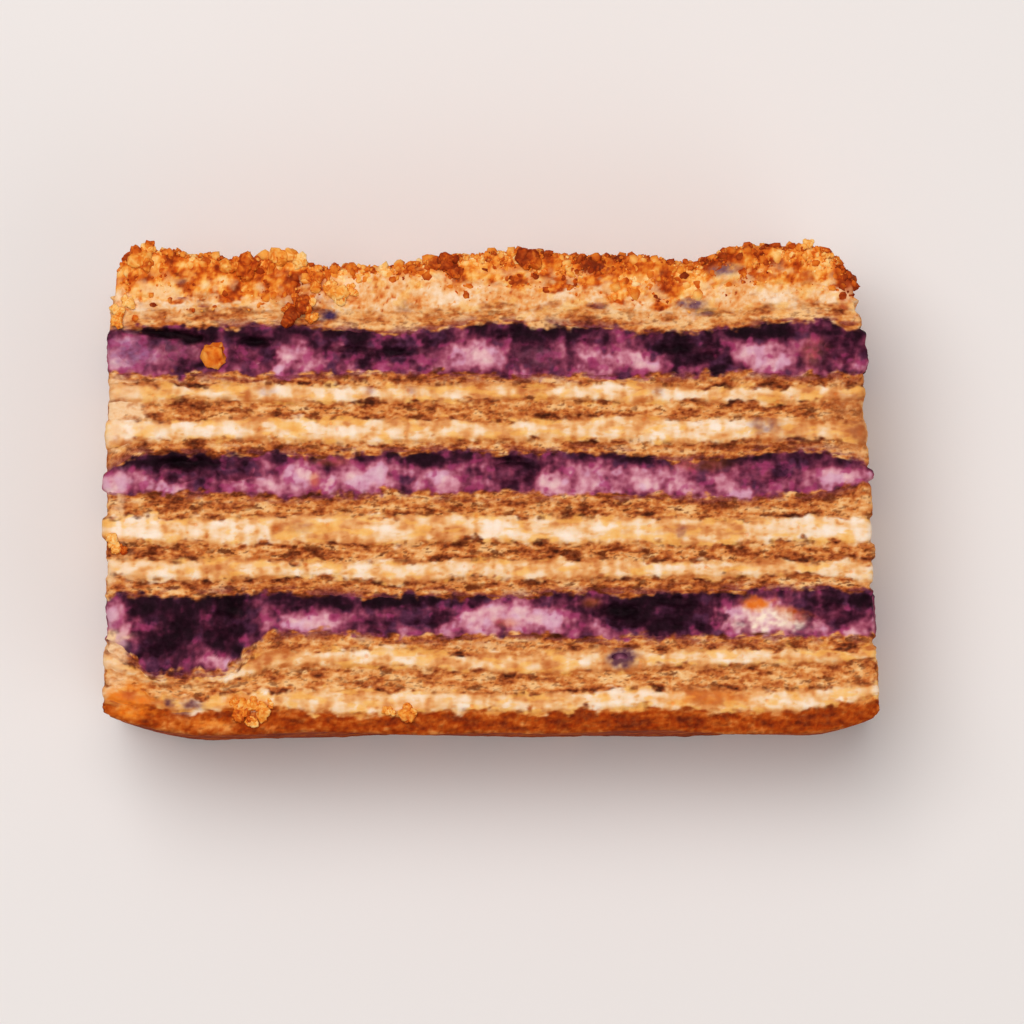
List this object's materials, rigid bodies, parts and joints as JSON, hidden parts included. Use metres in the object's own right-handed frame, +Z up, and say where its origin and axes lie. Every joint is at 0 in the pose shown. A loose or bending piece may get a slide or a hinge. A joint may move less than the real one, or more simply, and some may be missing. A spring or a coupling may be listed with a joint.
{
  "type": "honey cake slice",
  "caption": "Rectangular slice of layered honey cake on its cut side: thin biscuits, pale cream, blueberry cream fillings with berries, and a crumb topping.",
  "frame": {"origin": "middle of the footprint, on the surface that the slice rests on", "axes": "+X along the slice's length, to the right of the cut face; +Y up the stack of layers, from the bottom biscuit to the crumb topping; +Z up, from the cut side it rests on to the cut face that shows"},
  "size_m": [0.1251, 0.08, 0.0372],
  "materials": {
    "biscuit": "baked honey biscuit, porous and dry, with dark pits along its edges",
    "baked_base": "darker baked bottom biscuit, fine open crumb",
    "cream": "soft set cream, slightly moist, with golden honey-soaked patches",
    "blueberry_cream": "moist cream stained from pink to dark purple by berries",
    "blueberry": "cooked blueberry, dark, soft and slightly wet",
    "crumb": "coarse baked crumbs, golden to red-brown, dry"
  },
  "bodies": {
    "root": {"bottom_biscuit": "baked_base", "cream_1": "cream", "biscuit_1": "biscuit", "cream_2": "cream", "biscuit_2": "biscuit", "blueberry_cream_low": "blueberry_cream", "biscuit_3": "biscuit", "cream_3": "cream", "biscuit_4": "biscuit", "cream_4": "cream", "biscuit_5": "biscuit", "blueberry_cream_mid": "blueberry_cream", "biscuit_6": "biscuit", "cream_5": "cream", "biscuit_7": "biscuit", "cream_6": "cream", "biscuit_8": "biscuit", "blueberry_cream_high": "blueberry_cream", "biscuit_9": "biscuit", "cream_top": "cream", "crumb_topping": "crumb", "blueberry_high_1": "blueberry", "blueberry_high_2": "blueberry", "blueberry_high_3": "blueberry", "blueberry_high_4": "blueberry", "blueberry_high_5": "blueberry", "blueberry_high_6": "blueberry", "blueberry_high_7": "blueberry", "blueberry_mid_1": "blueberry", "blueberry_mid_2": "blueberry", "blueberry_mid_3": "blueberry", "blueberry_mid_4": "blueberry", "blueberry_low_1": "blueberry", "blueberry_low_2": "blueberry", "blueberry_low_3": "blueberry", "blueberry_low_4": "blueberry", "blueberry_low_5": "blueberry", "blueberry_low_6": "blueberry", "blueberry_small": "blueberry"}
  },
  "joints": []
}
